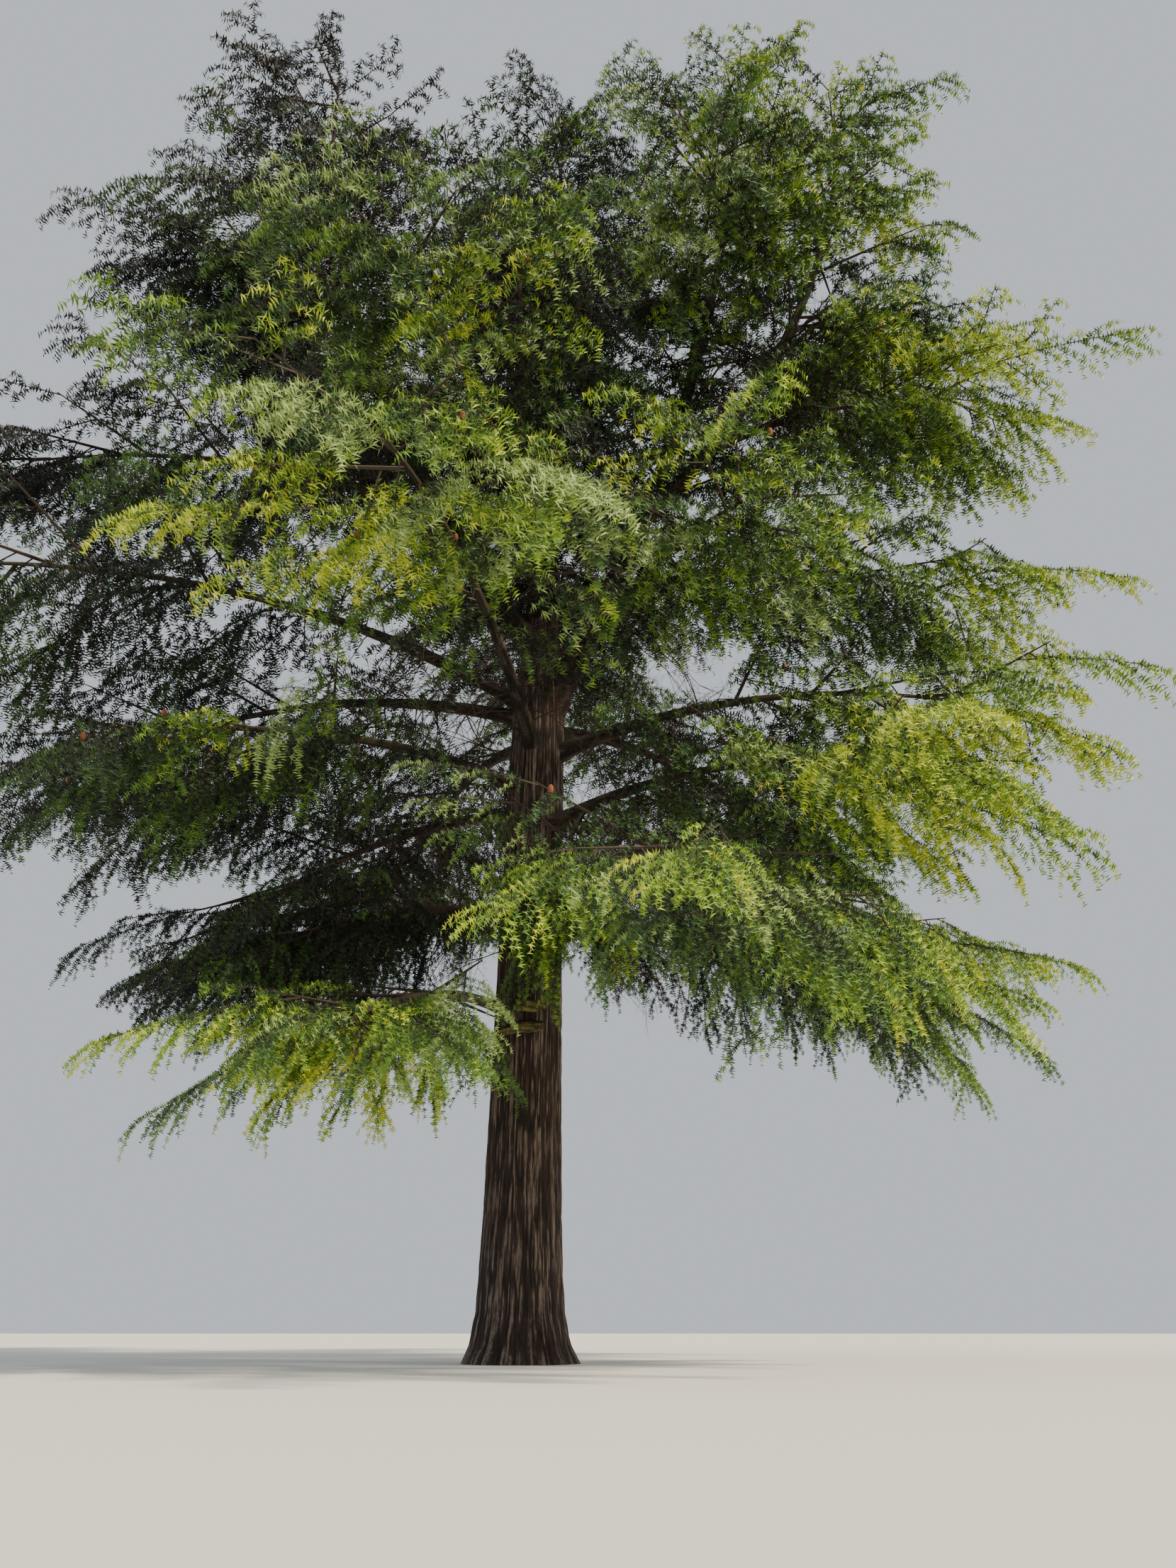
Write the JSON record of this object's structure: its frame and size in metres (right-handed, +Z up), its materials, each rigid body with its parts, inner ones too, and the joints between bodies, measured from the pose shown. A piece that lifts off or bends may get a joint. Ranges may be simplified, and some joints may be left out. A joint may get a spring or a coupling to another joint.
{
  "type": "cedar tree",
  "caption": "Mature weeping cedar: flared trunk forking into upright leaders, layered near-level boughs all round, and drooping feathery foliage.",
  "frame": {"origin": "middle of the flat cut under the trunk, at ground level", "axes": "+Z up; -Y towards the viewer of the picture; +X to the viewer's right"},
  "size_m": [17.8666, 16.8083, 21.4348],
  "materials": {
    "trunk_bark": "rough, deeply fissured, matt",
    "limb_bark": "rough, matt",
    "needles": "matt to slightly waxy"
  },
  "bodies": {
    "root": {"trunk": "trunk_bark", "leader_right": "limb_bark", "leader_left": "limb_bark", "leader_back": "limb_bark", "leader_front": "limb_bark", "leader_outer": "limb_bark", "bough_low_1": "limb_bark", "bough_low_2": "limb_bark", "bough_low_3": "limb_bark", "bough_low_4": "limb_bark", "bough_weeping_1": "limb_bark", "bough_weeping_2": "limb_bark", "bough_weeping_3": "limb_bark", "bough_weeping_4": "limb_bark", "bough_broad_1": "limb_bark", "bough_broad_2": "limb_bark", "bough_broad_3": "limb_bark", "bough_broad_4": "limb_bark", "bough_broad_5": "limb_bark", "bough_broad_6": "limb_bark", "bough_broad_7": "limb_bark", "bough_shoulder_1": "limb_bark", "bough_shoulder_2": "limb_bark", "bough_shoulder_3": "limb_bark", "bough_shoulder_4": "limb_bark", "bough_shoulder_5": "limb_bark", "bough_upper_1": "limb_bark", "bough_upper_2": "limb_bark", "bough_upper_3": "limb_bark", "bough_upper_4": "limb_bark", "foliage_leader_middle": "needles", "foliage_leader_right": "needles", "foliage_leader_left": "needles", "foliage_leader_back": "needles", "foliage_leader_front": "needles", "foliage_leader_outer": "needles", "foliage_low_1": "needles", "foliage_low_2": "needles", "foliage_low_3": "needles", "foliage_low_4": "needles", "foliage_weeping_1": "needles", "foliage_weeping_2": "needles", "foliage_weeping_3": "needles", "foliage_weeping_4": "needles", "foliage_broad_1": "needles", "foliage_broad_2": "needles", "foliage_broad_3": "needles", "foliage_broad_4": "needles", "foliage_broad_5": "needles", "foliage_broad_6": "needles", "foliage_broad_7": "needles", "foliage_shoulder_1": "needles", "foliage_shoulder_2": "needles", "foliage_shoulder_3": "needles", "foliage_shoulder_4": "needles", "foliage_shoulder_5": "needles", "foliage_upper_1": "needles", "foliage_upper_2": "needles", "foliage_upper_3": "needles", "foliage_upper_4": "needles"}
  },
  "joints": []
}
